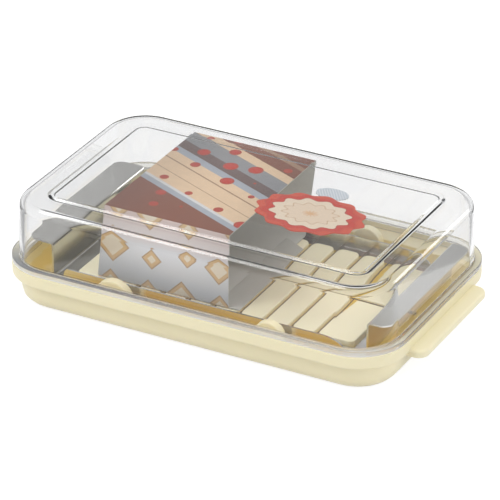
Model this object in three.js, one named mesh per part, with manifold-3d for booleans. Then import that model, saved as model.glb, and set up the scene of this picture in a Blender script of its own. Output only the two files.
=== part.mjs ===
// Butter cutting box: a moulded tray with grooved cutting platforms, a folded sheet-steel cutter strung
// with wires that drops over the platforms, a clear drafted lid and a loose card sleeve.
// Lengths are millimetres, +Z is up, +X runs along the box towards its pull tab, -Y is the front.
// Names ending in share or shares are ratios of the size they follow.
import * as THREE from 'three';
import { mergeVertices } from 'three/addons/utils/BufferGeometryUtils.js';
import Module from 'manifold-3d';

const wasm = await Module();
wasm.setup();

// Cutting field: nine wires across, one along, and the platforms between their grooves
const wire_count = 9;
const wire_pitch = 12.0;
const end_platform_run = 16.9;
const block_width = 68.0;
const platform_height = 3.0;
const platform_corner_radius = 2.6;
const platform_edge_round = 0.35;
const groove_width = 2.0;
const last_groove_jog = 1.8;
const jog_place = 14.7;
const bond_depth = 0.4;

// Ledges of the cutter's plate round the cutting field, and the field's place along the tray
const window_clearance = 0.6;
const end_ledge = 8.5;
const side_ledge = 5.9;
const field_shift = 2.1;

// Tray: how far the rim stands outside the cutter, then the section from the foot to the rim
const end_gutter_run = 17.2;
const side_gutter_run = 15.55;
const rim_corner_radius = 21.9;
const base_inset = 4.0;
const base_fillet = 5.2;
const neck_inset = 3.3;
const neck_slope = 1.9;
const rim_bottom_height = 12.6;
const rim_depth = 5.0;
const rim_edge_round = 0.5;
const tray_wall = 2.6;
const mouth_floor_gap = 1.2;
const mouth_slope = 2.2;

// Plinth that carries the cutter and the platforms, open underneath
const seat_height = 9.2;
const plinth_margin = 1.6;
const plinth_wall = 2.6;
const plinth_web = 2.4;
const plinth_draft = 0.6;
const plinth_corner_radius = 6.0;
const recess_foot_round = 0.5;

// Pull tab on the right-hand end
const handle_width = 63.0;
const handle_reach = 6.8;
const handle_height = 3.6;
const handle_bottom = 10.0;
const handle_corner_radius = 5.0;
const handle_round = 1.1;
const handle_root = 4.0;

// Round guide lugs that stand in the gutter before and behind the cutter
const lug_thickness = 4.0;
const left_lug_place = -38.2;
const left_lug_radius = 8.8;
const left_lug_top = 19.9;
const right_lug_place = 34.9;
const right_lug_radius = 6.8;
const right_lug_top = 19.3;
const lug_gap = 2.5;
const lug_edge_round = 0.5;

// Cutter: one folded sheet with two long walls, two end walls and two press flanges
const sheet = 0.8;
const flange_clearance = 0.5;
const flange_level = 16.5;
const end_wall_relief = 1.8;
const flange_corner_radius = 5.0;
const long_wall_height = 6.7;
const left_wall_relief = 6.4;
const right_wall_relief = 9.4;
const left_wall_round = 5.0;
const right_wall_drop = 6.6;
const right_wall_run = 10.8;
const bend_radius = 1.4;
const window_corner_radius = 3.2;

// Cutting wires and the crimps that hold their ends
const wire_radius = 0.25;
const wire_lift = 0.4;
const wire_crossing_gap = 0.3;
const wire_hole_clearance = 0.35;
const wire_tail = 1.9;
const crimp_radius = 0.9;
const crimp_length = 1.4;

// Lid: clear moulding with a locating skirt, a lip over the rim and a raised panel
const lid_end_inset = 4.2;
const lid_side_inset = 2.95;
const lid_corner_radius = 17.3;
const lid_height = 47.2;
const lid_wall = 1.9;
const lid_edge_radius = 4.0;
const lid_inner_round = 2.5;
const lip_thickness = 2.4;
const lip_edge_round = 0.6;
const skirt_depth = 2.5;
const skirt_step = 0.5;
const mouth_clearance = 0.5;
const panel_end_border = 11.8;
const panel_side_border = 12.0;
const panel_corner_radius = 5.5;
const panel_rise = 0.8;
const panel_step_run = 1.3;
const panel_underside_inset = 2.6;
const panel_underside_run = 0.9;
const panel_underside_rise = 0.5;
const wall_draft_share = 0.0332;

// Card sleeve: a folded loop that stands on the platforms inside the cutter
const card = 0.4;
const sleeve_length = 58.9;
const sleeve_shift = -22.15;
const sleeve_front_margin = 1.0;
const sleeve_rear_overhang = 2.5;
const sleeve_rear_gap = 7.1;
const sleeve_foot_run = 4.9;
const crown_length = 50.0;
const crown_width = 35.0;
const crown_reach = 20.5;
const crown_scallop = 1.2;
const leaf_length = 16.0;
const leaf_width = 8.6;
const leaf_place = 20.5;

// Clearances between pieces that touch
const seat_gap = 0.3;
const overrun = 1.0;

// Smoothness of the rounded outlines
const corner_steps = 6;
const round_steps = 3;
const wire_sides = 8;
const lug_steps = 20;
const crown_scallops = 12;
const steps_per_scallop = 6;
const leaf_steps = 20;

const colours = {
  cream: { color: 0xf1e3b4, roughness: 0.42, metalness: 0 },
  steel: { color: 0xbfc0c2, roughness: 0.24, metalness: 1 },
  wire: { color: 0xa9aaad, roughness: 0.3, metalness: 1 },
  clear: { color: 0xeef1f2, roughness: 0.05, metalness: 0, transparent: true, opacity: 0.3 },
  board: { color: 0x8c5a50, roughness: 0.6, metalness: 0 },
};

// Closed body from a geometry: shared corners merged, so that it can be joined or cut
function toSolid(geometry) {
  const bare = geometry.clone();
  bare.deleteAttribute('normal');
  bare.deleteAttribute('uv');
  const merged = mergeVertices(bare);
  return new wasm.Manifold(new wasm.Mesh({
    numProp: 3,
    vertProperties: new Float32Array(merged.attributes.position.array),
    triVerts: new Uint32Array(merged.index.array),
  }));
}

function toGeometry(solid) {
  const mesh = solid.getMesh();
  const geometry = new THREE.BufferGeometry();
  geometry.setAttribute('position', new THREE.BufferAttribute(new Float32Array(mesh.vertProperties), 3));
  geometry.setIndex(new THREE.BufferAttribute(new Uint32Array(mesh.triVerts), 1));
  geometry.computeVertexNormals();
  return geometry;
}

// Rounded rectangle, counter-clockwise, always with the same number of points
function roundedOutline(half_x, half_y, radius, middle_x = 0) {
  const points = [];
  const centres = [[1, 1], [-1, 1], [-1, -1], [1, -1]];
  for (let quarter = 0; quarter < centres.length; quarter += 1) {
    const [sign_x, sign_y] = centres[quarter];
    for (let step = 0; step <= corner_steps; step += 1) {
      const angle = (quarter + step / corner_steps) * Math.PI / 2;
      points.push([
        middle_x + sign_x * (half_x - radius) + radius * Math.cos(angle),
        sign_y * (half_y - radius) + radius * Math.sin(angle),
      ]);
    }
  }
  return points;
}

// Plan outline drawn in by an inset (out by a negative one) and set at a height
function ring(plan, inset, z) {
  return {
    z,
    points: roundedOutline(plan.x - inset, plan.y - inset, Math.max(plan.r - inset, plan.least), plan.at ?? 0),
  };
}

// Closed skin through a chain of rings, the first and the last one filled across
function skin(rings) {
  const count = rings[0].points.length;
  const positions = [];
  for (const { points, z } of rings) {
    for (const [x, y] of points) {
      positions.push(x, y, z);
    }
  }
  const index = [];
  for (let level = 0; level + 1 < rings.length; level += 1) {
    for (let i = 0; i < count; i += 1) {
      const j = (i + 1) % count;
      const a = level * count + i;
      const b = level * count + j;
      index.push(a, b, b + count, a, b + count, a + count);
    }
  }
  const last = (rings.length - 1) * count;
  for (let i = 1; i + 1 < count; i += 1) {
    index.push(0, i + 1, i);
    index.push(last, last + i, last + i + 1);
  }
  const geometry = new THREE.BufferGeometry();
  geometry.setAttribute('position', new THREE.Float32BufferAttribute(positions, 3));
  geometry.setIndex(index);
  geometry.computeVertexNormals();
  return geometry;
}

function shapeOf(points) {
  return new THREE.Shape(points.map(([x, y]) => new THREE.Vector2(x, y)));
}

// Upright prism over a plan outline, with its edges rounded where a round is given
function prism(points, bottom, top, round = 0) {
  const geometry = new THREE.ExtrudeGeometry(shapeOf(points), {
    depth: top - bottom - round - round,
    bevelEnabled: round > 0,
    bevelSize: round,
    bevelThickness: round,
    bevelOffset: -round,
    bevelSegments: round > 0 ? round_steps : 0,
    steps: 1,
  });
  geometry.translate(0, 0, bottom + round);
  return geometry;
}

// Section drawn in (Y, Z) and run along +X
function runAlongX(points, from, to) {
  const geometry = new THREE.ExtrudeGeometry(shapeOf(points), { depth: to - from, bevelEnabled: false, steps: 1 });
  geometry.applyMatrix4(new THREE.Matrix4().makeBasis(
    new THREE.Vector3(0, 1, 0), new THREE.Vector3(0, 0, 1), new THREE.Vector3(1, 0, 0)));
  geometry.translate(from, 0, 0);
  return geometry;
}

// Section drawn in (X, Z) and run along Y, rounded at its two ends where a round is given
function runAlongY(points, from, to, round = 0) {
  const geometry = new THREE.ExtrudeGeometry(shapeOf(points), {
    depth: to - from - round - round,
    bevelEnabled: round > 0,
    bevelSize: round,
    bevelThickness: round,
    bevelOffset: -round,
    bevelSegments: round > 0 ? round_steps : 0,
    steps: 1,
  });
  geometry.translate(0, 0, round);
  geometry.applyMatrix4(new THREE.Matrix4().makeBasis(
    new THREE.Vector3(1, 0, 0), new THREE.Vector3(0, 0, 1), new THREE.Vector3(0, -1, 0)));
  geometry.translate(0, to, 0);
  return geometry;
}

// Strip of one thickness that follows a folded centre path, every fold rounded
function foldedStrip(path, thickness, radius) {
  const left = [];
  const right = [];
  const half = thickness / 2;
  for (let i = 0; i < path.length; i += 1) {
    const here = new THREE.Vector2(...path[i]);
    const before = i > 0 ? new THREE.Vector2(...path[i - 1]) : null;
    const after = i + 1 < path.length ? new THREE.Vector2(...path[i + 1]) : null;
    if (!before || !after) {
      const run = after ? after.clone().sub(here).normalize() : here.clone().sub(before).normalize();
      left.push([here.x - run.y * half, here.y + run.x * half]);
      right.push([here.x + run.y * half, here.y - run.x * half]);
      continue;
    }
    const coming = here.clone().sub(before).normalize();
    const going = after.clone().sub(here).normalize();
    const turn = Math.atan2(coming.cross(going), coming.dot(going));
    const side = Math.sign(turn);
    const reach = radius * Math.tan(Math.abs(turn) / 2);
    const start = here.clone().addScaledVector(coming, -reach);
    const centre = new THREE.Vector2(start.x - coming.y * side * radius, start.y + coming.x * side * radius);
    const first = Math.atan2(start.y - centre.y, start.x - centre.x);
    for (let step = 0; step <= round_steps; step += 1) {
      const angle = first + turn * step / round_steps;
      const inner = radius - side * half;
      const outer = radius + side * half;
      left.push([centre.x + inner * Math.cos(angle), centre.y + inner * Math.sin(angle)]);
      right.push([centre.x + outer * Math.cos(angle), centre.y + outer * Math.sin(angle)]);
    }
  }
  return right.concat(left.reverse());
}

// Plans and levels that several pieces share
const block_length = (wire_count - 1) * wire_pitch + end_platform_run + end_platform_run;
const cutter_length = block_length + (window_clearance + end_ledge) * 2;
const cutter_width = block_width + (window_clearance + side_ledge) * 2;
const end_wall_width = cutter_width - end_wall_relief - end_wall_relief;
const tray_plan = {
  x: cutter_length / 2 + end_gutter_run,
  y: cutter_width / 2 + side_gutter_run,
  r: rim_corner_radius,
  least: rim_edge_round,
};
const lid_plan = {
  x: tray_plan.x - lid_end_inset,
  y: tray_plan.y - lid_side_inset,
  r: lid_corner_radius,
  least: lip_edge_round,
};
const plinth_plan = {
  x: cutter_length / 2 + plinth_margin,
  y: cutter_width / 2 + plinth_margin,
  r: plinth_corner_radius,
  least: recess_foot_round,
  at: field_shift,
};
const panel_plan = {
  x: lid_plan.x - panel_end_border,
  y: lid_plan.y - panel_side_border,
  r: panel_corner_radius,
  least: panel_rise,
};
const rim_top_height = rim_bottom_height + rim_depth;
const platform_top = seat_height + platform_height;
const plate_bottom = seat_height + seat_gap;
const plate_top = plate_bottom + sheet;
const cross_wire_level = plate_top + wire_lift + wire_radius;
const long_wire_level = cross_wire_level + wire_radius + wire_crossing_gap + wire_radius;
const lip_bottom = rim_top_height + seat_gap;
const skirt_bottom = lip_bottom - skirt_depth;
const lid_spread = (z) => (lid_height - z) * wall_draft_share;
const skirt_outer = skirt_step - lid_spread(lip_bottom);
const mouth_bottom = skirt_bottom - mouth_floor_gap;
const sleeve_bottom = platform_top + seat_gap;
const sleeve_top = lid_height - lid_wall - seat_gap;
const sleeve_offset = field_shift + sleeve_shift;
const wire_places = Array.from({ length: wire_count }, (_, i) => (
  field_shift + (i - (wire_count - 1) / 2) * wire_pitch));

// Tray: one skin from the underside recess, round the foot and the rim and back up over the plinth
function trayShell() {
  const rings = [];
  rings.push(ring(plinth_plan, plinth_wall, seat_height - plinth_web));
  rings.push(ring(plinth_plan, plinth_wall - plinth_draft, recess_foot_round));
  rings.push(ring(plinth_plan, plinth_wall - plinth_draft - recess_foot_round, 0));
  for (let step = 0; step <= round_steps; step += 1) {
    const angle = step / round_steps * Math.PI / 2;
    rings.push(ring(tray_plan, base_inset + base_fillet * (1 - Math.sin(angle)),
      base_fillet * (1 - Math.cos(angle))));
  }
  rings.push(ring(tray_plan, neck_inset, rim_bottom_height - neck_slope));
  rings.push(ring(tray_plan, rim_edge_round, rim_bottom_height - rim_edge_round));
  rings.push(ring(tray_plan, 0, rim_bottom_height));
  rings.push(ring(tray_plan, 0, rim_top_height - rim_edge_round));
  rings.push(ring(tray_plan, rim_edge_round, rim_top_height));
  rings.push(ring(lid_plan, skirt_outer - mouth_clearance, rim_top_height));
  rings.push(ring(lid_plan, skirt_outer - mouth_clearance, mouth_bottom));
  rings.push(ring(tray_plan, neck_inset + tray_wall, mouth_bottom - mouth_slope));
  for (let step = round_steps; step >= 0; step -= 1) {
    const angle = step / round_steps * Math.PI / 2;
    rings.push(ring(tray_plan, base_inset + base_fillet - (base_fillet - tray_wall) * Math.sin(angle),
      base_fillet - (base_fillet - tray_wall) * Math.cos(angle)));
  }
  rings.push(ring(plinth_plan, -plinth_draft, tray_wall));
  rings.push(ring(plinth_plan, 0, seat_height));
  return toSolid(skin(rings));
}

// One platform between two grooves, rounded at its outer corners only
function platform(from, to, near, far, jog) {
  const outer = Math.sign(near + far);
  const [low, high] = [Math.min(near, far), Math.max(near, far)];
  const points = [];
  const corner = (x, y, start) => {
    const sign_x = x === to ? -1 : 1;
    const sign_y = y === high ? -1 : 1;
    for (let step = 0; step <= corner_steps; step += 1) {
      const angle = start + step / corner_steps * Math.PI / 2;
      points.push([
        x + sign_x * platform_corner_radius + platform_corner_radius * Math.cos(angle),
        y + sign_y * platform_corner_radius + platform_corner_radius * Math.sin(angle),
      ]);
    }
  };
  if (outer > 0) {
    points.push([from, low], [to, low]);
    corner(to, high, 0);
    corner(from, high, Math.PI / 2);
  } else {
    corner(from, low, Math.PI);
    corner(to, low, -Math.PI / 2);
    points.push([to, high]);
    if (jog > 0) {
      points.push([from + jog, high], [from + jog, -jog_place], [from, -jog_place]);
    } else {
      points.push([from, high]);
    }
  }
  return toSolid(prism(points, seat_height - bond_depth, platform_top, platform_edge_round));
}

function platforms() {
  const half_groove = groove_width / 2;
  const block_left = field_shift - block_length / 2;
  const block_right = field_shift + block_length / 2;
  const lefts = [block_left, ...wire_places.map((x) => x + half_groove)];
  const rights = [...wire_places.map((x) => x - half_groove), block_right];
  const blocks = [];
  for (let i = 0; i < lefts.length; i += 1) {
    const last = i === lefts.length - 1;
    blocks.push(platform(lefts[i], rights[i], -block_width / 2, -half_groove, last ? last_groove_jog : 0));
    blocks.push(platform(last ? lefts[i] + last_groove_jog : lefts[i], rights[i], half_groove, block_width / 2, 0));
  }
  return blocks;
}

// Guide lug: a disc on a straight stem that rises out of the gutter floor
function lug(place, radius, top, side) {
  const points = [[place - radius, tray_wall - bond_depth], [place + radius, tray_wall - bond_depth]];
  for (let step = 0; step <= lug_steps; step += 1) {
    const angle = step / lug_steps * Math.PI;
    points.push([place + radius * Math.cos(angle), top - radius + radius * Math.sin(angle)]);
  }
  const inner = cutter_width / 2 + lug_gap;
  const outer = inner + lug_thickness;
  const from = side > 0 ? inner : -outer;
  return toSolid(runAlongY(points, from, from + lug_thickness, lug_edge_round));
}

function pullTab() {
  const left = tray_plan.x - handle_root;
  const right = tray_plan.x + handle_reach;
  const middle = (left + right) / 2;
  const outline = roundedOutline((right - left) / 2, handle_width / 2,
    Math.min(handle_corner_radius, (right - left) / 2), middle);
  return toSolid(prism(outline, handle_bottom, handle_bottom + handle_height, handle_round));
}

function trayGeometry() {
  let solid = trayShell();
  for (const block of platforms()) {
    solid = solid.add(block);
  }
  for (const side of [-1, 1]) {
    solid = solid.add(lug(left_lug_place, left_lug_radius, left_lug_top, side));
    solid = solid.add(lug(right_lug_place, right_lug_radius, right_lug_top, side));
  }
  return toGeometry(solid.add(pullTab()));
}

// Cutter: end walls, flanges and plate are one folded strip; the long walls are folded up from its sides
function cutterGeometry() {
  const half = sheet / 2;
  const ends = [field_shift - cutter_length / 2 + half, field_shift + cutter_length / 2 - half];
  const low = plate_bottom + half;
  const high = plate_bottom + flange_level - half;
  const tip = lid_plan.x - lid_wall - flange_clearance;
  const strip = foldedStrip([
    [-tip, high], [ends[0], high], [ends[0], low], [ends[1], low], [ends[1], high], [tip, high],
  ], sheet, bend_radius);
  let solid = toSolid(runAlongY(strip, -end_wall_width / 2, end_wall_width / 2));
  const flange_plan = roundedOutline(tip, end_wall_width / 2, flange_corner_radius);
  solid = solid.intersect(toSolid(prism(flange_plan, plate_bottom - overrun, plate_bottom + flange_level + overrun)));

  const wall_line = cutter_width / 2 - half;
  const wall_top = plate_bottom + long_wall_height;
  const wall_left = field_shift - cutter_length / 2 + left_wall_relief;
  const wall_right = field_shift + cutter_length / 2 - right_wall_relief;
  const elevation = [[wall_left, plate_bottom - overrun], [wall_right, plate_bottom - overrun]];
  for (let step = 0; step <= corner_steps; step += 1) {
    const angle = step / corner_steps * Math.PI / 2;
    elevation.push([wall_right - right_wall_run * (1 - Math.cos(angle)),
      wall_top - right_wall_drop * (1 - Math.sin(angle))]);
  }
  for (let step = 0; step <= corner_steps; step += 1) {
    const angle = (1 + step / corner_steps) * Math.PI / 2;
    elevation.push([wall_left + left_wall_round * (1 + Math.cos(angle)),
      wall_top - left_wall_round * (1 - Math.sin(angle))]);
  }
  const seam = block_width / 2 + window_clearance + sheet;
  for (const side of [-1, 1]) {
    const path = [[side * seam, low], [side * wall_line, low], [side * wall_line, wall_top]];
    const section = foldedStrip(side > 0 ? path : path.reverse(), sheet, bend_radius);
    const wall = toSolid(runAlongX(section, wall_left, wall_right));
    const reach = [Math.min(side * seam, side * (wall_line + sheet)), Math.max(side * seam, side * (wall_line + sheet))];
    solid = solid.add(wall.intersect(toSolid(runAlongY(elevation, reach[0] - overrun, reach[1] + overrun))));
  }

  const opening = roundedOutline(block_length / 2 + window_clearance, block_width / 2 + window_clearance,
    window_corner_radius, field_shift);
  solid = solid.subtract(toSolid(prism(opening, plate_bottom - overrun, plate_top + overrun)));

  const hole_radius = wire_radius + wire_hole_clearance;
  const bore_length = bend_radius + sheet + overrun;
  const bore_centre = overrun - bore_length / 2;
  const cross_bore = new THREE.CylinderGeometry(hole_radius, hole_radius, bore_length, wire_sides);
  for (const x of wire_places) {
    for (const side of [-1, 1]) {
      solid = solid.subtract(toSolid(cross_bore.clone().translate(x, side * (cutter_width / 2 + bore_centre), cross_wire_level)));
    }
  }
  const long_bore = cross_bore.clone().rotateZ(Math.PI / 2);
  for (const side of [-1, 1]) {
    const bore_place = field_shift + side * (cutter_length / 2 + bore_centre);
    solid = solid.subtract(toSolid(long_bore.clone().translate(bore_place, 0, long_wire_level)));
  }
  return toGeometry(solid);
}

function wireGeometry(span) {
  return new THREE.CylinderGeometry(wire_radius, wire_radius, span + wire_tail + wire_tail, wire_sides);
}

// Crimp: a short ring pressed on a wire end, outside the wall that the wire passes
function crimpGeometry() {
  const bore = wire_radius + wire_hole_clearance;
  const half = crimp_length / 2;
  const section = [[bore, -half], [crimp_radius, -half], [crimp_radius, half], [bore, half], [bore, -half]];
  return new THREE.LatheGeometry(section.map(([x, y]) => new THREE.Vector2(x, y)), wire_sides);
}

// Lid: one skin from the ceiling down the inside, round the skirt and the lip and up the outside
function lidGeometry() {
  const ceiling = lid_height - lid_wall;
  const edge_level = lid_height - lid_edge_radius;
  const rings = [];
  rings.push(ring(panel_plan, panel_underside_inset + panel_underside_run, ceiling + panel_underside_rise));
  rings.push(ring(panel_plan, panel_underside_inset, ceiling));
  for (let step = round_steps; step >= 0; step -= 1) {
    const angle = step / round_steps * Math.PI / 2;
    rings.push(ring(lid_plan, lid_wall + lid_inner_round * (1 - Math.cos(angle)),
      ceiling - lid_inner_round * (1 - Math.sin(angle))));
  }
  rings.push(ring(lid_plan, lid_wall - lid_spread(skirt_bottom), skirt_bottom));
  rings.push(ring(lid_plan, skirt_outer, skirt_bottom));
  rings.push(ring(lid_plan, skirt_outer, lip_bottom));
  rings.push(ring(tray_plan, 0, lip_bottom));
  rings.push(ring(tray_plan, 0, lip_bottom + lip_thickness - lip_edge_round));
  rings.push(ring(tray_plan, lip_edge_round, lip_bottom + lip_thickness));
  rings.push(ring(lid_plan, -lid_spread(lip_bottom + lip_thickness), lip_bottom + lip_thickness));
  for (let step = 0; step <= round_steps; step += 1) {
    const angle = step / round_steps * Math.PI / 2;
    rings.push(ring(lid_plan, lid_edge_radius * (1 - Math.cos(angle)), edge_level + lid_edge_radius * Math.sin(angle)));
  }
  rings.push(ring(panel_plan, 0, lid_height));
  rings.push(ring(panel_plan, panel_step_run, lid_height + panel_rise));
  return skin(rings);
}

// Card sleeve: a closed loop of card with a longer foot panel and a scalloped crown past its right edge
function sleeveGeometry() {
  const bottom = sleeve_bottom;
  const top = sleeve_top;
  const left = sleeve_offset - sleeve_length / 2;
  const right = sleeve_offset + sleeve_length / 2;
  const front = -block_width / 2 + sleeve_front_margin;
  const rear = block_width / 2 + sleeve_rear_overhang;
  const rear_top = lid_plan.y - sleeve_rear_gap;
  const outer = [[front, bottom], [rear, bottom], [rear_top, top], [front, top]];
  const lean_share = (rear_top - rear) / (top - bottom);
  const slant = card * Math.hypot(1, lean_share);
  const inner = [
    [front + card, bottom + card],
    [rear + card * lean_share - slant, bottom + card],
    [rear_top - card * lean_share - slant, top - card],
    [front + card, top - card],
  ];
  let solid = toSolid(runAlongX(outer, left, right));
  solid = solid.subtract(toSolid(runAlongX(inner, left - overrun, right + overrun)));
  const foot = [
    [right - sleeve_foot_run, front], [right + sleeve_foot_run, front],
    [right + sleeve_foot_run, rear - sleeve_foot_run], [right - sleeve_foot_run, rear],
  ];
  solid = solid.add(toSolid(prism(foot, bottom, bottom + card)));
  const crown = [];
  const crown_steps = crown_scallops * steps_per_scallop;
  for (let step = 0; step < crown_steps; step += 1) {
    const angle = step / crown_steps * Math.PI * 2;
    const swell = crown_scallop * Math.abs(Math.cos(angle * crown_scallops / 2));
    crown.push([
      right + crown_reach + (crown_length / 2 - crown_scallop + swell) * Math.cos(angle),
      (crown_width / 2 - crown_scallop + swell) * Math.sin(angle),
    ]);
  }
  solid = solid.add(toSolid(prism(crown, top - card, top)));
  const leaf = [];
  for (let step = 0; step < leaf_steps; step += 1) {
    const angle = step / leaf_steps * Math.PI * 2;
    leaf.push([
      right + crown_reach + leaf_length / 2 * Math.cos(angle),
      leaf_place + leaf_width / 2 * Math.sin(angle),
    ]);
  }
  solid = solid.add(toSolid(prism(leaf, top - card, top)));
  return toGeometry(solid);
}

const box = new THREE.Group();

function place(name, geometry, colour) {
  const mesh = new THREE.Mesh(geometry, new THREE.MeshStandardMaterial(colours[colour]));
  mesh.name = name;
  box.add(mesh);
  return mesh;
}

place('base_tray', trayGeometry(), 'cream');
place('cutter_frame', cutterGeometry(), 'steel');
wire_places.forEach((x, i) => {
  const wire = place(`cross_wire_${String(i + 1).padStart(2, '0')}`, wireGeometry(cutter_width), 'wire');
  wire.position.set(x, 0, cross_wire_level);
});
const long_wire = place('long_wire', wireGeometry(cutter_length), 'wire');
long_wire.rotation.z = Math.PI / 2;
long_wire.position.set(field_shift, 0, long_wire_level);
for (const [side, end] of [[-1, 'front'], [1, 'rear']]) {
  wire_places.forEach((x, i) => {
    const crimp = place(`crimp_${end}_${String(i + 1).padStart(2, '0')}`, crimpGeometry(), 'steel');
    crimp.position.set(x, side * (cutter_width / 2 + seat_gap + crimp_length / 2), cross_wire_level);
  });
}
for (const [side, end] of [[-1, 'left'], [1, 'right']]) {
  const crimp = place(`crimp_${end}_end`, crimpGeometry(), 'steel');
  crimp.rotation.z = Math.PI / 2;
  crimp.position.set(field_shift + side * (cutter_length / 2 + seat_gap + crimp_length / 2), 0, long_wire_level);
}
place('lid', lidGeometry(), 'clear');
place('card_sleeve', sleeveGeometry(), 'board');

// The origin is under the middle of the whole outline, tab included
box.position.x = -handle_reach / 2;

export default box;
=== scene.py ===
# Butter cutting box: cream moulded tray, folded steel cutter with wires, clear lid and card sleeve.
# Sizes are written in millimetres from the tray's own middle and turned to metres by mm.
import math

import bpy
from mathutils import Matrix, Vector


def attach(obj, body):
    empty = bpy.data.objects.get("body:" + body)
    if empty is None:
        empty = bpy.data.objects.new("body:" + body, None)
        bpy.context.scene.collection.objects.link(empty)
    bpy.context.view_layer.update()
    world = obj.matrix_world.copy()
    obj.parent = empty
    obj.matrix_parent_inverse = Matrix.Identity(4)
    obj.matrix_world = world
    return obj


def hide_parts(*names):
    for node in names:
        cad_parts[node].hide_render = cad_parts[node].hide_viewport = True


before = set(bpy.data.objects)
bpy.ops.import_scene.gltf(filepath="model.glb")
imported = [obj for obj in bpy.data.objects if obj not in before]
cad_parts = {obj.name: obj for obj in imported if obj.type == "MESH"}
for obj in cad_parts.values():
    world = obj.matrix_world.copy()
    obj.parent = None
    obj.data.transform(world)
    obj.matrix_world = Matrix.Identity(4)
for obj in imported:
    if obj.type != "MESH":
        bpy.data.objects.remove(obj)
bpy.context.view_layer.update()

# Camera: a long lens at the photograph's angle, looking down on the front long side and the
# right-hand end, where the pull tab is.
mm = 0.001
tray_middle = -3.4
view_turn, view_rise = math.radians(27.89), math.radians(28.03)
view_distance = 1484.43
looked_at = Vector((1.87 + tray_middle, -0.49, 22.57))
towards_camera = Vector((math.sin(view_turn) * math.cos(view_rise),
                         -math.cos(view_turn) * math.cos(view_rise),
                         math.sin(view_rise)))
camera = bpy.data.objects.new("camera", bpy.data.cameras.new("camera"))
bpy.context.scene.collection.objects.link(camera)
camera.location = (looked_at + towards_camera * view_distance) * mm
camera.rotation_euler = towards_camera.to_track_quat("Z", "Y").to_euler()
camera.data.sensor_width = 36
camera.data.lens = 253.95
camera.data.clip_end = 20
bpy.context.scene.camera = camera
bpy.context.scene.view_settings.view_transform = "Standard"


# Studio: an even white tent round the object with two softboxes that only its mirrors and clear
# parts show, a broad soft lamp high on the left, weaker ones on the right and behind, and a white
# sweep that stays white save for the object's soft shadow. Studio and flags are in metres.
def node(tree, kind, inputs, **settings):
    """A shader node with its settings made and its inputs set, or linked to a given socket."""
    made = tree.nodes.new("ShaderNode" + kind)
    for name, value in settings.items():
        setattr(made, name, value)
    for name, given in inputs.items():
        if isinstance(given, bpy.types.NodeSocket):
            tree.links.new(given, made.inputs[name])
        else:
            made.inputs[name].default_value = given
    return made


def maths(tree, operation, one, two=0.0):
    return node(tree, "Math", {0: one, 1: two}, operation=operation).outputs[0]


def vector_maths(tree, operation, one, two=(0, 0, 0)):
    made = node(tree, "VectorMath", {0: one, 1: two}, operation=operation)
    return made.outputs["Value" if operation in ("LENGTH", "DOT_PRODUCT") else "Vector"]


def eased(tree, value, given, wanted):
    """Carry a value from one range into another and hold it at the ends."""
    carried = node(tree, "MapRange", {
        "Value": value, "From Min": given[0], "From Max": given[1],
        "To Min": wanted[0], "To Max": wanted[1]})
    return carried.outputs["Result"]


def seen_directly(tree):
    """One where a ray comes from the camera, from a mirror or through clear plastic, else zero."""
    path = node(tree, "LightPath", {})
    seen = maths(tree, "MAXIMUM", path.outputs["Is Camera Ray"], path.outputs["Is Glossy Ray"])
    return maths(tree, "MAXIMUM", seen, path.outputs["Is Transmission Ray"])


def either_shader(tree, choice, one, other):
    return node(tree, "MixShader", {"Fac": choice, 1: one, 2: other}).outputs[0]


tent = bpy.data.worlds.new("white_tent")
bpy.context.scene.world = tent
tent.use_nodes = True
sky = tent.node_tree
even_light = sky.nodes["Background"]
even_light.inputs["Color"].default_value = (1, 1, 1, 1)
even_light.inputs["Strength"].default_value = 0.62
direction = node(sky, "TexCoord", {}).outputs["Generated"]
upwards = node(sky, "SeparateXYZ", {0: direction}).outputs["Z"]
bright = eased(sky, upwards, (0.05, 0.4), (1.0, 0.66))
top_softbox = ((-0.413, 0, 0.911), (0.975, 0.985), 7.0)
rear_softbox = ((0.575, 0.78, 0.248), (0.986, 0.992), 5.0)
for aim, edge, power in (top_softbox, rear_softbox):
    closeness = vector_maths(sky, "DOT_PRODUCT", direction, aim)
    bright = maths(sky, "ADD", bright, eased(sky, closeness, edge, (0, power)))
backdrop = node(sky, "Background", {"Strength": bright})
surround = either_shader(sky, seen_directly(sky), even_light.outputs[0], backdrop.outputs[0])
sky.links.new(surround, sky.nodes["World Output"].inputs["Surface"])


def soft_lamp(name, place, width, power):
    lamp = bpy.data.lights.new(name, "AREA")
    lamp.shape = "DISK"
    lamp.size = width
    lamp.energy = power
    holder = bpy.data.objects.new(name, lamp)
    bpy.context.scene.collection.objects.link(holder)
    holder.location = place
    aimed_at = Vector((0, 0, 0.02))
    holder.rotation_euler = (Vector(place) - aimed_at).to_track_quat("Z", "Y").to_euler()
    holder.visible_glossy = False
    holder.visible_transmission = False


soft_lamp("left_lamp", place=(-0.45, -0.55, 0.7), width=0.5, power=3.4)
soft_lamp("right_lamp", place=(0.8, -0.15, 0.55), width=0.5, power=2.2)
soft_lamp("rear_lamp", place=(0.1, 0.6, 0.9), width=0.6, power=3.0)


def new_finish(name, colour=None, roughness=None):
    """A new material with its node tree and its shader; what is left out is linked later."""
    finish = bpy.data.materials.new(name)
    finish.use_nodes = True
    shader = finish.node_tree.nodes["Principled BSDF"]
    if colour:
        shader.inputs["Base Color"].default_value = (*colour, 1)
    if roughness is not None:
        shader.inputs["Roughness"].default_value = roughness
    return finish, finish.node_tree, shader


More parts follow.
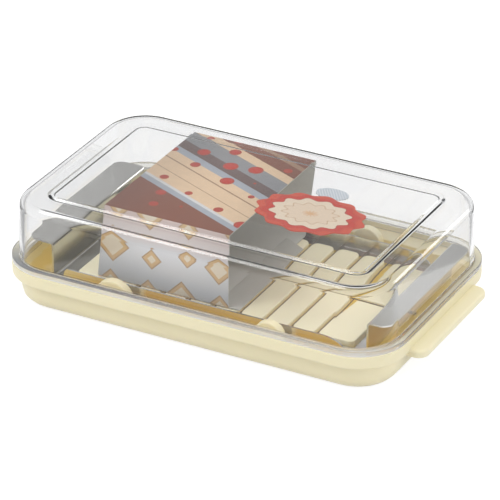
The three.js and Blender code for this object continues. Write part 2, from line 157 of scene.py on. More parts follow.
floor_size, floor_level = 6, -0.0004
bpy.ops.object.select_all(action="DESELECT")
bpy.ops.mesh.primitive_plane_add(size=floor_size, location=(0, 0, floor_level))
floor = bpy.context.object
floor.name = "white_floor"
sweep, tree, shader = new_finish("white_sweep", (0.82, 0.82, 0.82), 0.9)
shaded = node(tree, "BsdfDiffuse", {"Color": (0.3, 0.3, 0.3, 1)})
away = vector_maths(tree, "LENGTH", node(tree, "TexCoord", {}).outputs["Object"])
glow = node(tree, "Emission", {"Strength": eased(tree, away, (0.5, 1.4), (0.84, 0.35))})
both = node(tree, "AddShader", {0: shaded.outputs[0], 1: glow.outputs[0]})
seen_floor = either_shader(tree, seen_directly(tree), shader.outputs[0], both.outputs[0])
tree.links.new(seen_floor, tree.nodes["Material Output"].inputs["Surface"])
floor.data.materials.append(sweep)

# Flags: two grey cards on the floor just outside the picture, which put soft grey edges in the
# clear lid. Only mirrors and clear parts show them.
flag_size, flag_away, flag_level = 0.4, 0.33, 0.0002
for name, side, shade in (("left_flag", -1, 0.42), ("right_flag", 1, 0.5)):
    flag_grey, tree, shader = new_finish(name, (shade, shade, shade), 0.9)
    bpy.ops.object.select_all(action="DESELECT")
    bpy.ops.mesh.primitive_plane_add(
        size=flag_size, rotation=(0, 0, view_turn),
        location=(side * flag_away * math.cos(view_turn),
                  side * flag_away * math.sin(view_turn), flag_level))
    flag = bpy.context.object
    flag.name = name
    flag.visible_camera = False
    flag.visible_diffuse = False
    flag.visible_shadow = False
    flag.data.materials.append(flag_grey)

# Tray: one injection moulding in cream plastic. Its outline is drawn at the underside of the rim,
# then carried up over the rim and down the inside to the plinth, and down the outside to the foot.
slack, fine = 0.1, 0.01


def flat_blank(name, left, right, near, far, z):
    """A flat rectangle in millimetres, all of it selected in edit mode."""
    bpy.ops.object.select_all(action="DESELECT")
    bpy.ops.mesh.primitive_plane_add(
        size=mm, location=((left + right) / 2 * mm, (near + far) / 2 * mm, z * mm))
    piece = bpy.context.object
    piece.name = name
    piece.scale = (right - left, far - near, 1)
    bpy.ops.object.transform_apply(location=True, rotation=True, scale=True)
    bpy.ops.object.mode_set(mode="EDIT")
    bpy.ops.mesh.select_all(action="SELECT")
    return piece


def pick(piece, kind, wanted):
    """Select the corners, edges or faces that pass a test on their corners' places in mm."""
    bpy.ops.object.mode_set(mode="OBJECT")
    bpy.context.tool_settings.mesh_select_mode = (kind == "VERT", kind == "EDGE", kind == "FACE")
    mesh = piece.data
    for item in list(mesh.vertices) + list(mesh.edges) + list(mesh.polygons):
        item.select = False
    if kind == "VERT":
        for corner in mesh.vertices:
            corner.select = wanted(corner.co / mm)
    else:
        for item in (mesh.edges if kind == "EDGE" else mesh.polygons):
            item.select = all(wanted(mesh.vertices[i].co / mm) for i in item.vertices)
    bpy.ops.object.mode_set(mode="EDIT")


def pick_all_faces():
    bpy.ops.mesh.select_mode(type="FACE")
    bpy.ops.mesh.select_all(action="SELECT")


def round_corners(radius, steps):
    bpy.ops.mesh.bevel(offset=radius * mm, segments=steps, profile=0.5, affect="VERTICES")


def extrude(x, y, z):
    bpy.ops.mesh.extrude_region_move(TRANSFORM_OT_translate={"value": (x * mm, y * mm, z * mm)})


def move(x, y, z):
    bpy.ops.transform.translate(value=(x * mm, y * mm, z * mm))


def rounded_blank(name, half_x, half_y, corner, z, steps):
    piece = flat_blank(name, -half_x, half_x, -half_y, half_y, z)
    bpy.ops.mesh.select_mode(type="VERT")
    bpy.ops.mesh.select_all(action="SELECT")
    round_corners(corner, steps)
    pick_all_faces()
    return piece


def carry(start, places, middle=0.0):
    """Carry the selected end face from one (half length, half width, height) through others."""
    half_x, half_y, z = start
    shift = middle
    for next_x, next_y, next_z in places:
        draw_in = min(half_x - next_x, half_y - next_y)
        if draw_in > 0.05:
            bpy.ops.mesh.inset(thickness=draw_in * mm, depth=0)
            half_x, half_y = half_x - draw_in, half_y - draw_in
        else:
            extrude(0, 0, 0)
        move(shift, 0, next_z - z)
        bpy.ops.transform.resize(value=(next_x / half_x, next_y / half_y, 1),
                                 center_override=(middle * mm, 0, 0))
        half_x, half_y, z, shift = next_x, next_y, next_z, 0.0


def pick_start(piece, z):
    """Select the face that was left behind where the outline was drawn."""
    pick(piece, "FACE", lambda at: abs(at.z - z) < fine)


def turn_outwards():
    bpy.ops.mesh.select_all(action="SELECT")
    bpy.ops.mesh.normals_make_consistent(inside=False)
    bpy.ops.object.mode_set(mode="OBJECT")


def soften(piece, width, angle=30, segments=2, smooth=35):
    """Round the edges over by a width in mm and shade the rounds smooth and the flats flat."""
    bpy.ops.object.mode_set(mode="OBJECT")
    if width > 0:
        round_over = piece.modifiers.new("round_over", "BEVEL")
        round_over.width = width * mm
        round_over.segments = segments
        round_over.limit_method = "ANGLE"
        round_over.angle_limit = math.radians(angle)
        bpy.ops.object.modifier_apply(modifier=round_over.name)
    bpy.ops.object.shade_smooth_by_angle(angle=math.radians(smooth))
    flats = piece.modifiers.new("flats", "WEIGHTED_NORMAL")
    flats.keep_sharp = True
    flats.weight = 100
    bpy.ops.object.modifier_apply(modifier=flats.name)


def seat(piece, body, material):
    """Set a finished piece in the frame, give it its finish and let it ride on its body."""
    bpy.ops.object.select_all(action="DESELECT")
    piece.select_set(True)
    bpy.context.view_layer.objects.active = piece
    piece.location.x += tray_middle * mm
    bpy.ops.object.transform_apply(location=True, rotation=True, scale=True)
    piece.data.materials.clear()
    piece.data.materials.append(material)
    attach(piece, body)


def grain(tree, scale, detail=2.0):
    """An even, fine pattern from 0 to 1 over the whole piece."""
    place = node(tree, "TexCoord", {}).outputs["Object"]
    noise = node(tree, "TexNoise", {"Vector": place, "Scale": scale, "Detail": detail})
    return noise.outputs["Fac"]


def mixed(tree, factor, one, other, **settings):
    """A colour between two, each of them a plain colour or a socket."""
    one, other = (side if isinstance(side, bpy.types.NodeSocket) else (*side, 1)
                  for side in (one, other))
    made = node(tree, "Mix", {"Factor": factor, "A": one, "B": other}, data_type="RGBA", **settings)
    return made.outputs["Result"]


def emboss(tree, shader, value, strength, distance):
    relief = node(tree, "Bump", {"Height": value, "Strength": strength, "Distance": distance})
    tree.links.new(relief.outputs["Normal"], shader.inputs["Normal"])


def along(tree, turn=0.0, middle=(0, 0, 0)):
    """Object coordinates turned about the vertical, in millimetres from a given middle."""
    place = node(tree, "TexCoord", {}).outputs["Object"]
    origin = ((middle[0] + tray_middle) * mm, middle[1] * mm, middle[2] * mm)
    local = node(tree, "Mapping", {
        "Vector": place, "Location": origin, "Rotation": (0, 0, turn), "Scale": (mm, mm, mm),
    }, vector_type="TEXTURE")
    return local.outputs["Vector"]


# Painted bounce light: gold colours and a faint glow are painted into the cream of the gutter and
# grooves for light bounced between the cream walls. They fade towards the rear and are deeper to
# the right.
painted_bounce_left, painted_bounce_right = (0.86, 0.74, 0.36), (0.80, 0.60, 0.13)
painted_glow_left, painted_glow_right = (0.90, 0.66, 0.20), (0.85, 0.55, 0.03)
painted_glow_strength, painted_bounce_foot, rear_share = 0.14, 1.6, 0.3
mouth_slope, painted_bounce_rear_fade, painted_bounce_left_fade = (12.0, 14.2), (30, 42), (-75, -45)


def cream_with_painted_bounce(name, pale, painted_bounce_levels, reach, roundings):
    """Cream plastic with painted bounce light: gold and a faint glow inside a rounded outline,
    between two heights in mm.
    """
    finish, tree, shader = new_finish(name, roughness=0.38)
    shader.inputs["Specular IOR Level"].default_value = 0.45
    shader.inputs["Subsurface Weight"].default_value = 0.08
    shader.inputs["Subsurface Radius"].default_value = (0.004, 0.003, 0.001)
    shader.inputs["Subsurface Scale"].default_value = 1.0
    at = node(tree, "SeparateXYZ", {0: along(tree)}).outputs
    beyond = vector_maths(tree, "ABSOLUTE", along(tree))
    beyond = vector_maths(tree, "SUBTRACT", beyond, (*reach, 0))
    beyond = vector_maths(tree, "MAXIMUM", beyond, (0, 0, 0))
    beyond = vector_maths(tree, "MULTIPLY", beyond, (1, 1, 0))
    outline = eased(tree, at["Z"], mouth_slope, roundings)
    painted_bounce_share = maths(tree, "LESS_THAN", vector_maths(tree, "LENGTH", beyond), outline)
    painted_bounce_share = maths(tree, "MULTIPLY", painted_bounce_share, maths(tree, "GREATER_THAN", at["Z"], painted_bounce_foot))
    painted_bounce_share = maths(tree, "MULTIPLY", painted_bounce_share, eased(tree, at["Z"], painted_bounce_levels, (0, 1)))
    painted_bounce_share = maths(tree, "MULTIPLY", painted_bounce_share, eased(tree, at["Y"], painted_bounce_rear_fade, (1, rear_share)))
    rightwards = eased(tree, at["X"], painted_bounce_left_fade, (0, 1))
    gold = mixed(tree, rightwards, painted_bounce_left, painted_bounce_right)
    surface = mixed(tree, grain(tree, 60.0), pale, [part + 0.03 for part in pale])
    tree.links.new(mixed(tree, painted_bounce_share, surface, gold), shader.inputs["Base Color"])
    painted_glow_colour = mixed(tree, rightwards, painted_glow_left, painted_glow_right)
    tree.links.new(painted_glow_colour, shader.inputs["Emission Color"])
    strength = maths(tree, "MULTIPLY", painted_bounce_share, painted_glow_strength)
    tree.links.new(strength, shader.inputs["Emission Strength"])
    emboss(tree, shader, grain(tree, 2600.0, 1.0), strength=0.05, distance=0.0001)
    return finish


gutter_reach, gutter_roundings = (69.2, 34.05), (16.2, 18.95)
# The tray's cream, with painted bounce gold and glow in its gutter.
cream = cream_with_painted_bounce("cream_moulding", pale=(0.82, 0.75, 0.515), painted_bounce_levels=(17.4, 14.0),
                     reach=gutter_reach, roundings=gutter_roundings)

# Rows of the profiles: half length, half width and height.
rim_x, rim_y, rim_corner, rim_low, rim_top, tray_wall = 91.2, 56.05, 21.9, 12.6, 17.6, 2.6
plinth_middle, seat_level, web_level = 2.1, 9.2, 6.8
floor_edge, foot_edge = (82.0, 46.85, tray_wall), (82.0, 46.85, 0.0)
mouth = [(rim_x, rim_y, rim_top), (87.97, 54.07, rim_top), (87.9, 54.0, 14.2),
         (85.3, 50.15, 12.0), (84.6, 49.45, 5.2), (84.25, 49.1, 3.9), (83.3, 48.15, 2.95),
         floor_edge]
plinth = [(76.2, 42.7, tray_wall), (75.6, 42.1, seat_level)]
outside = [(90.7, 55.55, 12.1), (87.9, 52.75, 10.7), (87.2, 52.05, 5.2), (86.5, 51.35, 2.6),
           (84.6, 49.45, 0.7), foot_edge]
underside = [(74.1, 40.6, 0.0), (73.6, 40.1, 0.5), (73.0, 39.5, web_level)]
tray = rounded_blank("tray_shell", rim_x, rim_y, rim_corner, rim_low, steps=14)
carry((rim_x, rim_y, rim_low), mouth)
carry(floor_edge, plinth, plinth_middle)
pick_start(tray, rim_low)
carry((rim_x, rim_y, rim_low), outside)
carry(foot_edge, underside, plinth_middle)
turn_outwards()
soften(tray, width=0.45, angle=38)
seat(tray, "tray", cream)
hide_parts("base_tray")

# Cutting platforms: flat-topped pads moulded on the plinth in two rows, with the grooves that the
# wires drop into left between them. Outer corners are round; the last front pad has a small jog.
# Painted light: the pads' cream is paler than the tray's, for more light under the lid, and their
# sides low in the grooves get the painted bounce gold and glow.
lit_pad_cream = cream_with_painted_bounce("cream_pads", pale=(0.95, 0.87, 0.60), painted_bounce_levels=(10.8, 8.8),
                         reach=(58.0, 40.0), roundings=(2.0, 2.0))
wire_count, wire_pitch, half_groove = 9, 12.0, 1.0
field_left, field_right, field_half = -62.8, 67.0, 34.0
first_wire = plinth_middle - (wire_count - 1) / 2 * wire_pitch
last_wire = first_wire + (wire_count - 1) * wire_pitch
pad_foot, pad_top, pad_corner = 9.0, 12.2, 2.8
last_jog, jog_place, jog_run = 1.8, 14.7, 0.05


def pad(name, left, right, near, far, jog=0.0):
    piece = flat_blank(name, left, right, near, far, pad_foot)
    if jog:
        for cut in (-jog_place - jog_run, -jog_place + jog_run):
            bpy.ops.mesh.select_all(action="SELECT")
            bpy.ops.mesh.bisect(plane_co=(0, cut * mm, 0), plane_no=(0, 1, 0))
        pick(piece, "VERT", lambda at: at.x < left + slack and at.y > -jog_place)
        move(jog, 0, 0)
        bpy.ops.mesh.select_all(action="SELECT")
        bpy.ops.mesh.dissolve_limited(angle_limit=math.radians(1))
    outer = far if abs(far) > abs(near) else near
    pick(piece, "VERT", lambda at: abs(at.y - outer) < fine)
    round_corners(pad_corner, steps=8)
    pick_all_faces()
    extrude(0, 0, pad_top - pad_foot)
    turn_outwards()
    soften(piece, width=0.4, angle=40, segments=3)
    return piece


def copied(piece, name, shift):
    twin = piece.copy()
    twin.data = piece.data.copy()
    twin.name = name
    bpy.context.scene.collection.objects.link(twin)
    twin.location.x += shift * mm
    return twin


for row, near, far in (("front", -field_half, -half_groove), ("rear", half_groove, field_half)):
    jog = last_jog if row == "front" else 0.0
    pads = [pad(f"{row}_pad_01", field_left, first_wire - half_groove, near, far)]
    plain = pad(f"{row}_pad_02", first_wire + half_groove, first_wire + wire_pitch - half_groove,
                near, far)
    pads += [plain] + [copied(plain, f"{row}_pad_{i + 2:02d}", i * wire_pitch)
                       for i in range(1, wire_count - 1)]
    pads += [pad(f"{row}_pad_{wire_count + 1}", last_wire + half_groove + last_jog - jog,
                 field_right, near, far, jog)]
    for piece in pads:
        seat(piece, "tray", lit_pad_cream)

# Guide lugs: four half-round ears moulded on the gutter floor, two before and two behind the
# cutter, which keep it from sliding while it is pressed down.
# Painted light: the front ears' cream is paler than the tray's, the rear ears take the tray's own,
# and both get painted bounce gold and glow low down.
lit_front_ear_cream = cream_with_painted_bounce("cream_ears", pale=(0.94, 0.83, 0.52), painted_bounce_levels=(11.0, 7.0),
                         reach=gutter_reach, roundings=gutter_roundings)
ear_line, ear_thickness, ear_foot = 45.0, 4.0, 2.4


def ear(name, place, radius, top, side):
    centre = top - radius
    bpy.ops.object.select_all(action="DESELECT")
    bpy.ops.mesh.primitive_cylinder_add(
        vertices=64, radius=radius * mm, depth=ear_thickness * mm,
        location=(place * mm, side * ear_line * mm, centre * mm), rotation=(math.pi / 2, 0, 0))
    piece = bpy.context.object
    piece.name = name
    bpy.ops.object.transform_apply(location=True, rotation=True, scale=True)
    bpy.ops.object.mode_set(mode="EDIT")
    bpy.ops.mesh.select_all(action="SELECT")
    bpy.ops.mesh.bisect(plane_co=(0, 0, centre * mm), plane_no=(0, 0, 1),
                        clear_inner=True, use_fill=True)
    extrude(0, 0, ear_foot - centre)
    turn_outwards()
    soften(piece, width=0.6, angle=40, segments=3)
    seat(piece, "tray", lit_front_ear_cream if side < 0 else cream)


for side, end in ((-1, "front"), (1, "rear")):
    ear(f"left_ear_{end}", place=-38.2, radius=8.8, top=19.9, side=side)
    ear(f"right_ear_{end}", place=34.9, radius=6.8, top=19.3, side=side)

# Pull tab: a flat tongue of the tray's own moulding with rounded edges, which grows out of the
# right-hand end wall at the rim's lower edge.
tab_root, tab_tip, tab_half, tab_low, tab_thickness = 86.6, 98.0, 31.5, 10.0, 3.6
tab = flat_blank("pull_tab", tab_root, tab_tip, -tab_half, tab_half, tab_low)
pick(tab, "VERT", lambda at: at.x > tab_tip - slack)
round_corners(5.0, steps=10)
pick_all_faces()
extrude(0, 0, tab_thickness)
turn_outwards()
soften(tab, width=1.2, angle=40, segments=4)
seat(tab, "tray", cream)

# Cutter: one stainless sheet 0.8 mm thick, punched with a window for the platforms, its two long
# sides folded up as low walls and its ends folded up and out again as flanges to press on.
steel, tree, shader = new_finish("rolled_steel", (0.71, 0.70, 0.67))
shader.inputs["Metallic"].default_value = 1.0
rolled = node(tree, "Mapping", {"Vector": node(tree, "TexCoord", {}).outputs["Object"],
                                "Scale": (60, 2400, 2400)})
lines = node(tree, "TexNoise", {"Vector": rolled.outputs["Vector"], "Scale": 1.0, "Detail": 3.0})
lines = lines.outputs["Fac"]
tree.links.new(eased(tree, lines, (0, 1), (0.14, 0.28)), shader.inputs["Roughness"])
emboss(tree, shader, lines, strength=0.06, distance=0.00005)

sheet, plate_level, side_line = 0.8, 9.9, 40.1
end_left, end_right, end_half = -71.5, 75.7, 38.7
flange_tip, flange_level = 84.6, 25.6
wall_left, wall_right, wall_level, wall_relief = -65.5, 66.7, 16.2, 0.3
window_gap = 0.6
window_x = (field_left - window_gap, field_right + window_gap)
window_y = (-field_half - window_gap, field_half + window_gap)
bend, tip_round, left_round, right_round, right_stretch = 1.2, 5.0, 5.0, 6.1, 1.77
cutter = flat_blank("cutter_sheet", end_left, end_right, -side_line, side_line, plate_level)
for x in (wall_left, wall_left - wall_relief, wall_right, wall_right + wall_relief, *window_x):
    bpy.ops.mesh.select_all(action="SELECT")
    bpy.ops.mesh.bisect(plane_co=(x * mm, 0, 0), plane_no=(1, 0, 0))
for y in window_y:
    bpy.ops.mesh.select_all(action="SELECT")
    bpy.ops.mesh.bisect(plane_co=(0, y * mm, 0), plane_no=(0, 1, 0))
pick(cutter, "FACE", lambda at: window_x[0] - fine < at.x < window_x[1] + fine
     and window_y[0] - fine < at.y < window_y[1] + fine)
bpy.ops.mesh.delete(type="FACE")
pick(cutter, "VERT", lambda at: abs(at.y) > side_line - slack
     and not wall_left - 2 * slack < at.x < wall_right + 2 * slack)
bpy.ops.transform.resize(value=(1, end_half / side_line, 1), center_override=(0, 0, 0))
for side in (-1, 1):
    pick(cutter, "EDGE", lambda at: side * at.y > side_line - slack
         and wall_left - slack < at.x < wall_right + slack)
    extrude(0, 0, wall_level - plate_level)
for end_line, run in ((end_left, -flange_tip - end_left), (end_right, flange_tip - end_right)):
    pick(cutter, "EDGE", lambda at: abs(at.x - end_line) < slack)
    extrude(0, 0, flange_level - plate_level)
    extrude(run, 0, 0)
for wanted, radius in (
        (lambda at: abs(at.x) > flange_tip - slack and abs(at.y) > end_half - slack, tip_round),
        (lambda at: at.z > wall_level - slack and abs(at.x - wall_left) < slack, left_round),
        (lambda at: at.z > wall_level - slack and abs(at.x - wall_right) < slack, right_round)):
    pick(cutter, "VERT", wanted)
    round_corners(radius, steps=10)
pick(cutter, "VERT", lambda at: wall_right - right_round - slack < at.x < wall_right + slack
     and plate_level + slack < at.z < wall_level + slack and abs(at.y) > side_line - slack)
bpy.ops.transform.resize(value=(right_stretch, 1, 1), center_override=(wall_right * mm, 0, 0))
pick(cutter, "EDGE", lambda at: abs(at.z - plate_level) < slack
     and abs(at.y) > side_line - slack and wall_left - slack < at.x < wall_right + slack)
bpy.ops.mesh.bevel(offset=bend * mm, segments=5, profile=0.5)
pick(cutter, "EDGE", lambda at: min(abs(at.x - end_left), abs(at.x - end_right)) < slack
     and min(abs(at.z - plate_level), abs(at.z - flange_level)) < slack)
bpy.ops.mesh.bevel(offset=bend * mm, segments=5, profile=0.5)
turn_outwards()
gauge = cutter.modifiers.new("gauge", "SOLIDIFY")
gauge.thickness = sheet * mm
gauge.offset = 0
gauge.use_even_offset = True
bpy.ops.object.modifier_apply(modifier=gauge.name)
soften(cutter, width=0.0, smooth=40)
seat(cutter, "cutter", steel)
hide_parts("cutter_frame")

# Wires and crimps: drawn stainless wire across and along the window, its ends held by small
# pressed rings behind the walls. The solids already have their shape and get their finish here.
# Painted shade and reflection: the wire gets a dark cream-brown colour for the shade of the grooves
# it lies in and the cream it reflects.
painted_shade_wire, tree, shader = new_finish("drawn_wire", (0.30, 0.25, 0.19))
shader.inputs["Metallic"].default_value = 1.0
tree.links.new(eased(tree, grain(tree, 900.0), (0, 1), (0.22, 0.4)), shader.inputs["Roughness"])
# Painted reflection: the crimps are tinted gold for the cream moulding around them that they
# reflect.
painted_reflection_crimp, tree, shader = new_finish("pressed_crimp", (0.76, 0.64, 0.42))
shader.inputs["Metallic"].default_value = 1.0
tree.links.new(eased(tree, grain(tree, 1200.0), (0, 1), (0.35, 0.5)), shader.inputs["Roughness"])
for name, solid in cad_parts.items():
    if "wire" in name or "crimp" in name:
        solid.data.materials.clear()
        solid.data.materials.append(painted_reflection_crimp if "crimp" in name else painted_shade_wire)

# Lid: one clear moulding with a lip that lies on the rim, a skirt inside the tray's mouth, walls
# that draw in towards the top and a flat raised panel inside a round-over. The lip is a little
# cloudy, and on top towards the front left it is painted grey as a painted dark reflection, as the
# photograph shows it.
lip_low, lip_high, lip_fade, top_fade = 17.9, 20.3, (20.3, 20.6), (19.9, 20.1)
painted_reflection_fade, front_fade, lip_cloud, side_cloud = (0.85, 1.2), (-50, -30), 0.25, 0.15
clear_tint, lip_white, lip_painted_reflection = (0.985, 0.985, 0.985), (0.93, 0.92, 0.88), (0.22, 0.24, 0.30)
clear, tree, shader = new_finish("clear_moulding")
shader.inputs["IOR"].default_value = 1.5
shader.inputs["Specular IOR Level"].default_value = 0.2
tree.links.new(eased(tree, grain(tree, 35.0), (0, 1), (0.0, 0.03)), shader.inputs["Roughness"])
at = node(tree, "SeparateXYZ", {0: along(tree)}).outputs
facing = maths(tree, "ADD", maths(tree, "MULTIPLY", at["X"], -1 / 400),
               maths(tree, "MULTIPLY", at["Y"], -1 / 50))
lip_part = eased(tree, at["Z"], lip_fade, (1, 0))
lip_top = eased(tree, at["Z"], top_fade, (0, 1))
# Painted dark reflection: the top of the lip is painted grey towards the front left.
painted_reflection_share = maths(tree, "MULTIPLY", lip_top, eased(tree, facing, painted_reflection_fade, (0, 1)))
lip_tint = mixed(tree, painted_reflection_share, lip_white, lip_painted_reflection)
tree.links.new(mixed(tree, lip_part, clear_tint, lip_tint), shader.inputs["Base Color"])
cloudy = maths(tree, "ADD", eased(tree, at["Z"], lip_fade, (lip_cloud, 0)),
               eased(tree, at["Z"], top_fade, (side_cloud, 0)))
cloudy = maths(tree, "MULTIPLY", cloudy, eased(tree, at["Y"], front_fade, (1, rear_share)))
tree.links.new(maths(tree, "SUBTRACT", 1.0, cloudy), shader.inputs["Transmission Weight"])
path = node(tree, "LightPath", {})
lit_through = maths(tree, "MAXIMUM", path.outputs["Is Shadow Ray"], path.outputs["Is Diffuse Ray"])
through = node(tree, "BsdfTransparent", {"Color": (0.98, 0.98, 0.98, 1)})
surface = either_shader(tree, lit_through, shader.outputs[0], through.outputs[0])
tree.links.new(surface, tree.nodes["Material Output"].inputs["Surface"])
body = node(tree, "VolumeAbsorption", {"Color": (0.42, 0.45, 0.5, 1), "Density": 35.0})
tree.links.new(body.outputs[0], tree.nodes["Material Output"].inputs["Volume"])

lid_x, lid_y, lid_top, lid_wall, wall_lean = 87.0, 53.1, 47.2, 1.9, 0.89
outer_round, inner_round, round_steps = 4.0, 2.5, 6
inner_top = lid_top - lid_wall
skirt_x, skirt_y, skirt_low = 87.47, 53.57, 15.4


def rounding(radius, wall, level):
    """The quarter turn from the wall's end into the top, as rows of a profile."""
    rows = []
    for step in range(1, round_steps + 1):
        turn = step / round_steps * math.pi / 2
        drawn = wall + radius - radius * math.cos(turn)
        rows.append((lid_x - drawn, lid_y - drawn, level + radius * math.sin(turn)))
    return rows


lid = rounded_blank("lid_moulding", rim_x, rim_y, rim_corner, lip_low, steps=16)
carry((rim_x, rim_y, lip_low),
      [(rim_x, rim_y, lip_high), (lid_x + wall_lean, lid_y + wall_lean, lip_high),
       (lid_x, lid_y, lid_top - outer_round)]
      + rounding(outer_round, 0.0, lid_top - outer_round)
      + [(75.2, 41.1, lid_top), (73.9, 39.8, 48.0)])
pick_start(lid, lip_low)
carry((rim_x, rim_y, lip_low),
      [(skirt_x, skirt_y, lip_low), (skirt_x, skirt_y, skirt_low), (86.16, 52.26, skirt_low),
       (lid_x - lid_wall, lid_y - lid_wall, inner_top - inner_round)]
      + rounding(inner_round, lid_wall, inner_top - inner_round)
      + [(72.6, 38.5, inner_top), (72.0, 37.9, 45.8)])
turn_outwards()
soften(lid, width=0.35, angle=28, segments=3, smooth=50)
seat(lid, "lid", clear)
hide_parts("lid")


# Card sleeve: a strip of coated board folded into a loop, printed outside and grey inside, the grey
# partly the bare board's own colour and partly painted shade. It stands on the platforms, with a
# die-cut crown and leaf that reach out past its right-hand edge.
def ramp(tree, value, stops, interpolation="CONSTANT"):
    """Colours by a value from 0 to 1, each from its own place on."""
    colours = node(tree, "ValToRGB", {"Fac": value})
    colours.color_ramp.interpolation = interpolation
    bar = colours.color_ramp.elements
    for element, (position, colour) in zip(bar, stops[:2]):
        element.position, element.color = position, (*colour, 1)
    for position, colour in stops[2:]:
        bar.new(position).color = (*colour, 1)
    return colours.outputs["Color"]


white, black = (1, 1, 1), (0, 0, 0)
chestnut, dark_brown, tan = (0.25, 0.075, 0.035), (0.16, 0.10, 0.09), (0.42, 0.25, 0.15)
cream_ink, blue_grey, pale_grey = (0.86, 0.62, 0.40), (0.42, 0.45, 0.50), (0.75, 0.74, 0.74)
dark_grey, orange_red, deep_red = (0.30, 0.30, 0.31), (0.58, 0.03, 0.01), (0.50, 0.05, 0.02)
band_middle, band_turn, band_run = (-20, 6, 0), math.radians(-24), 100
dot_turn, dot_pitch, dot_edge = math.radians(20), 13, 0.34
board, tree, shader = new_finish("top_print", roughness=0.35)
turned = node(tree, "SeparateXYZ", {0: along(tree, band_turn, band_middle)})
across = maths(tree, "ADD", turned.outputs["Y"], band_run / 2)
bands = ramp(tree, maths(tree, "DIVIDE", across, band_run), [
    (0.0, chestnut), (0.30, blue_grey), (0.33, pale_grey), (0.345, cream_ink), (0.42, tan),
    (0.425, cream_ink), (0.50, tan), (0.505, cream_ink), (0.56, blue_grey), (0.60, dark_brown),
    (0.66, dark_grey), (0.74, cream_ink), (0.79, chestnut), (0.86, tan), (0.89, chestnut)])
dots = node(tree, "TexVoronoi", {"Vector": along(tree, dot_turn), "Scale": 1 / dot_pitch,
                                 "Randomness": 0.25}).outputs["Distance"]
spots = ramp(tree, dots, [(0.0, (0.72, 0.30, 0.10)), (0.10, orange_red), (0.30, deep_red),
                          (dot_edge, black)])
spot_mask = ramp(tree, dots, [(0.0, white), (dot_edge, black)])
printed = mixed(tree, spot_mask, bands, spots)
uneven = mixed(tree, grain(tree, 260.0, 5.0), (0.86, 0.86, 0.86), white)
mottled = mixed(tree, 1.0, printed, uneven, blend_type="MULTIPLY")
tree.links.new(mottled, shader.inputs["Base Color"])
shader.inputs["Specular IOR Level"].default_value = 0.15
emboss(tree, shader, grain(tree, 1800.0), strength=0.08, distance=0.00005)

lozenge_middle, lozenge_pitch, lozenge_edge, front_run = (-30, 0, 26), 17, 0.54, 40
front_board, tree, shader = new_finish("front_print", roughness=0.35)
at = node(tree, "SeparateXYZ", {0: along(tree, 0, lozenge_middle)}).outputs
flat = node(tree, "CombineXYZ", {"X": at["X"], "Y": at["Z"]})
lozenges = node(tree, "TexVoronoi", {"Vector": flat.outputs[0], "Scale": 1 / lozenge_pitch,
                                     "Randomness": 0.3}, distance="MANHATTAN").outputs["Distance"]
lozenge_ink = ramp(tree, lozenges, [
    (0.0, (0.80, 0.70, 0.55)), (0.38, (0.68, 0.46, 0.22)), (0.50, (0.46, 0.28, 0.14)),
    (lozenge_edge, (0.3, 0.3, 0.3))])
lozenge_mask = ramp(tree, lozenges, [(0.0, white), (lozenge_edge, black)])
height = maths(tree, "DIVIDE", maths(tree, "ADD", at["Z"], front_run / 2), front_run)
ground = ramp(tree, height, [
    (0.0, (0.42, 0.43, 0.44)), (0.30, (0.62, 0.64, 0.68)), (0.62, (0.74, 0.75, 0.79)),
    (0.80, (0.74, 0.66, 0.64)), (0.92, (0.70, 0.56, 0.52))], "LINEAR")
tree.links.new(mixed(tree, lozenge_mask, ground, lozenge_ink), shader.inputs["Base Color"])
emboss(tree, shader, grain(tree, 1800.0), strength=0.08, distance=0.00005)

# Partly painted shade: the board's unprinted inside is a fibrous grey, darker than the bare board.
grey_board_painted_shade, tree, shader = new_finish("board_back", roughness=0.7)
fibres_in_painted_shade = mixed(tree, grain(tree, 700.0, 4.0), (0.46, 0.445, 0.40), (0.54, 0.525, 0.47))
tree.links.new(fibres_in_painted_shade, shader.inputs["Base Color"])

sleeve_left, sleeve_right, sleeve_low, sleeve_top = -49.5, 9.4, 12.5, 45.0
sleeve_front, sleeve_rear, rear_overhang, foot_spread, card = -33.0, 36.5, 9.5, 3.5, 0.4
sleeve = flat_blank("sleeve_board", sleeve_left, sleeve_right, sleeve_front, sleeve_rear,
                    sleeve_low)
pick(sleeve, "EDGE", lambda at: at.y < sleeve_front + slack)
extrude(0, 0, sleeve_top - sleeve_low)
extrude(0, sleeve_rear + rear_overhang - sleeve_front, 0)
pick(sleeve, "EDGE", lambda at: at.y > sleeve_rear - slack)
bpy.ops.mesh.edge_face_add()
pick(sleeve, "VERT", lambda at: at.z < sleeve_low + slack and at.y < sleeve_front + slack
     and at.x < 0)
move(-foot_spread, 0, 0)
turn_outwards()
soften(sleeve, width=0.9, segments=3)
board_gauge = sleeve.modifiers.new("board_gauge", "SOLIDIFY")
board_gauge.thickness = card * mm
board_gauge.offset = -1
board_gauge.material_offset = 2
board_gauge.material_offset_rim = 2
seat(sleeve, "cutter", board)
sleeve.data.materials.append(front_board)
sleeve.data.materials.append(grey_board_painted_shade)
for face in sleeve.data.polygons:
    face.material_index = 1 if face.normal.y < -0.5 else 0
bpy.ops.object.modifier_apply(modifier=board_gauge.name)
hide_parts("card_sleeve")

foot_right, foot_lap, foot_taper, foot_thickness = 14.3, 6, 6, 0.35
foot = flat_blank("sleeve_foot", sleeve_right - foot_lap, foot_right, sleeve_front + card,
                  sleeve_rear - foot_lap, sleeve_low + card / 2)
pick(foot, "VERT", lambda at: at.x > foot_right - slack and at.y > 0)
move(0, -foot_taper, 0)
pick_all_faces()
extrude(0, 0, foot_thickness)
turn_outwards()
seat(foot, "cutter", grey_board_painted_shade)


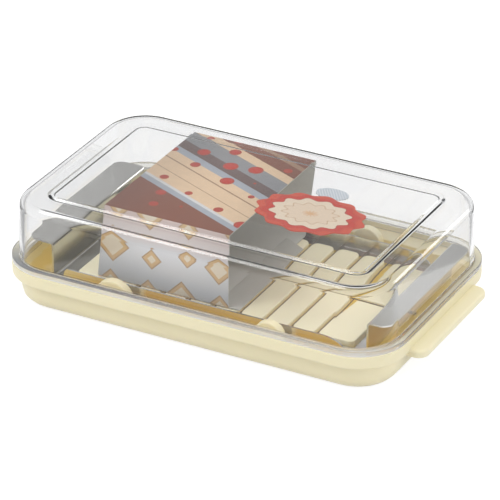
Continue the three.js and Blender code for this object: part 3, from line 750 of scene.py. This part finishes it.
# Crown and leaf: die-cut from the sleeve's top panel and printed as a scalloped rosette with a
# cream heart, and as a pale veined leaf behind it.
def cut_shape(name, middle, half_x, half_y, scallops, depth, top):
    """A flat card with a scalloped outline; depth is how far its scallops reach in and out."""
    steps = 96
    bpy.ops.object.select_all(action="DESELECT")
    bpy.ops.mesh.primitive_circle_add(
        vertices=steps, radius=mm, fill_type="NGON",
        location=(middle[0] * mm, middle[1] * mm, (top - card) * mm))
    piece = bpy.context.object
    piece.name = name
    piece.scale = (half_x, half_y, 1)
    bpy.ops.object.transform_apply(location=True, rotation=True, scale=True)
    for step in range(steps):
        reach = 1 + depth / half_x * math.cos(2 * math.pi * scallops * step / steps)
        corner = piece.data.vertices[step].co
        corner.x = (middle[0] + (corner.x / mm - middle[0]) * reach) * mm
        corner.y = (middle[1] + (corner.y / mm - middle[1]) * reach) * mm
    bpy.ops.object.mode_set(mode="EDIT")
    pick_all_faces()
    extrude(0, 0, card)
    turn_outwards()
    return piece


crown_place, crown_x, crown_y, crown_lift = (29.9, 0), 25.0, 17.5, 0.1
crown_scallops, crown_scallop, petal_share = 12, 1.2, 0.05
rosette, tree, shader = new_finish("rosette_print", roughness=0.35)
at = node(tree, "SeparateXYZ", {0: along(tree, 0, (*crown_place, 0))}).outputs
wide = maths(tree, "DIVIDE", at["X"], crown_x)
deep = maths(tree, "DIVIDE", at["Y"], crown_y)
squares = maths(tree, "ADD", maths(tree, "MULTIPLY", wide, wide),
                maths(tree, "MULTIPLY", deep, deep))
turn = maths(tree, "ARCTAN2", deep, wide)
petals = maths(tree, "SINE", maths(tree, "MULTIPLY", turn, crown_scallops))
petals = maths(tree, "MULTIPLY", petals, petal_share)
outwards = maths(tree, "ADD", maths(tree, "SQRT", squares), petals)
rings = ramp(tree, outwards, [
    (0.0, (0.70, 0.42, 0.22)), (0.10, (0.78, 0.62, 0.46)), (0.44, (0.62, 0.42, 0.26)),
    (0.47, (0.80, 0.66, 0.50)), (0.68, (0.40, 0.035, 0.015)), (0.70, orange_red),
    (0.82, (0.50, 0.04, 0.015)), (0.84, (0.63, 0.07, 0.025))])
tree.links.new(rings, shader.inputs["Base Color"])
shader.inputs["Specular IOR Level"].default_value = 0.15
crown = cut_shape("crown_card", crown_place, crown_x - crown_scallop, crown_y - crown_scallop,
                  crown_scallops, crown_scallop, sleeve_top + crown_lift)
seat(crown, "cutter", rosette)

leaf_place, leaf_x, leaf_y, leaf_drop, leaf_turn = (29.9, 20.5), 8, 4.3, 0.05, math.radians(35)
leaf_scallops, leaf_scallop = 2, 0.6
leaf_print, tree, shader = new_finish("leaf_print", roughness=0.35)
veins = node(tree, "TexWave", {"Vector": along(tree, leaf_turn, (*leaf_place, 0)),
                               "Scale": 0.28, "Distortion": 1.5})
veined = mixed(tree, veins.outputs["Fac"], (0.50, 0.56, 0.62), (0.74, 0.77, 0.80))
tree.links.new(veined, shader.inputs["Base Color"])
leaf = cut_shape("leaf_card", leaf_place, leaf_x, leaf_y, leaf_scallops, leaf_scallop,
                 sleeve_top - leaf_drop)
seat(leaf, "cutter", leaf_print)
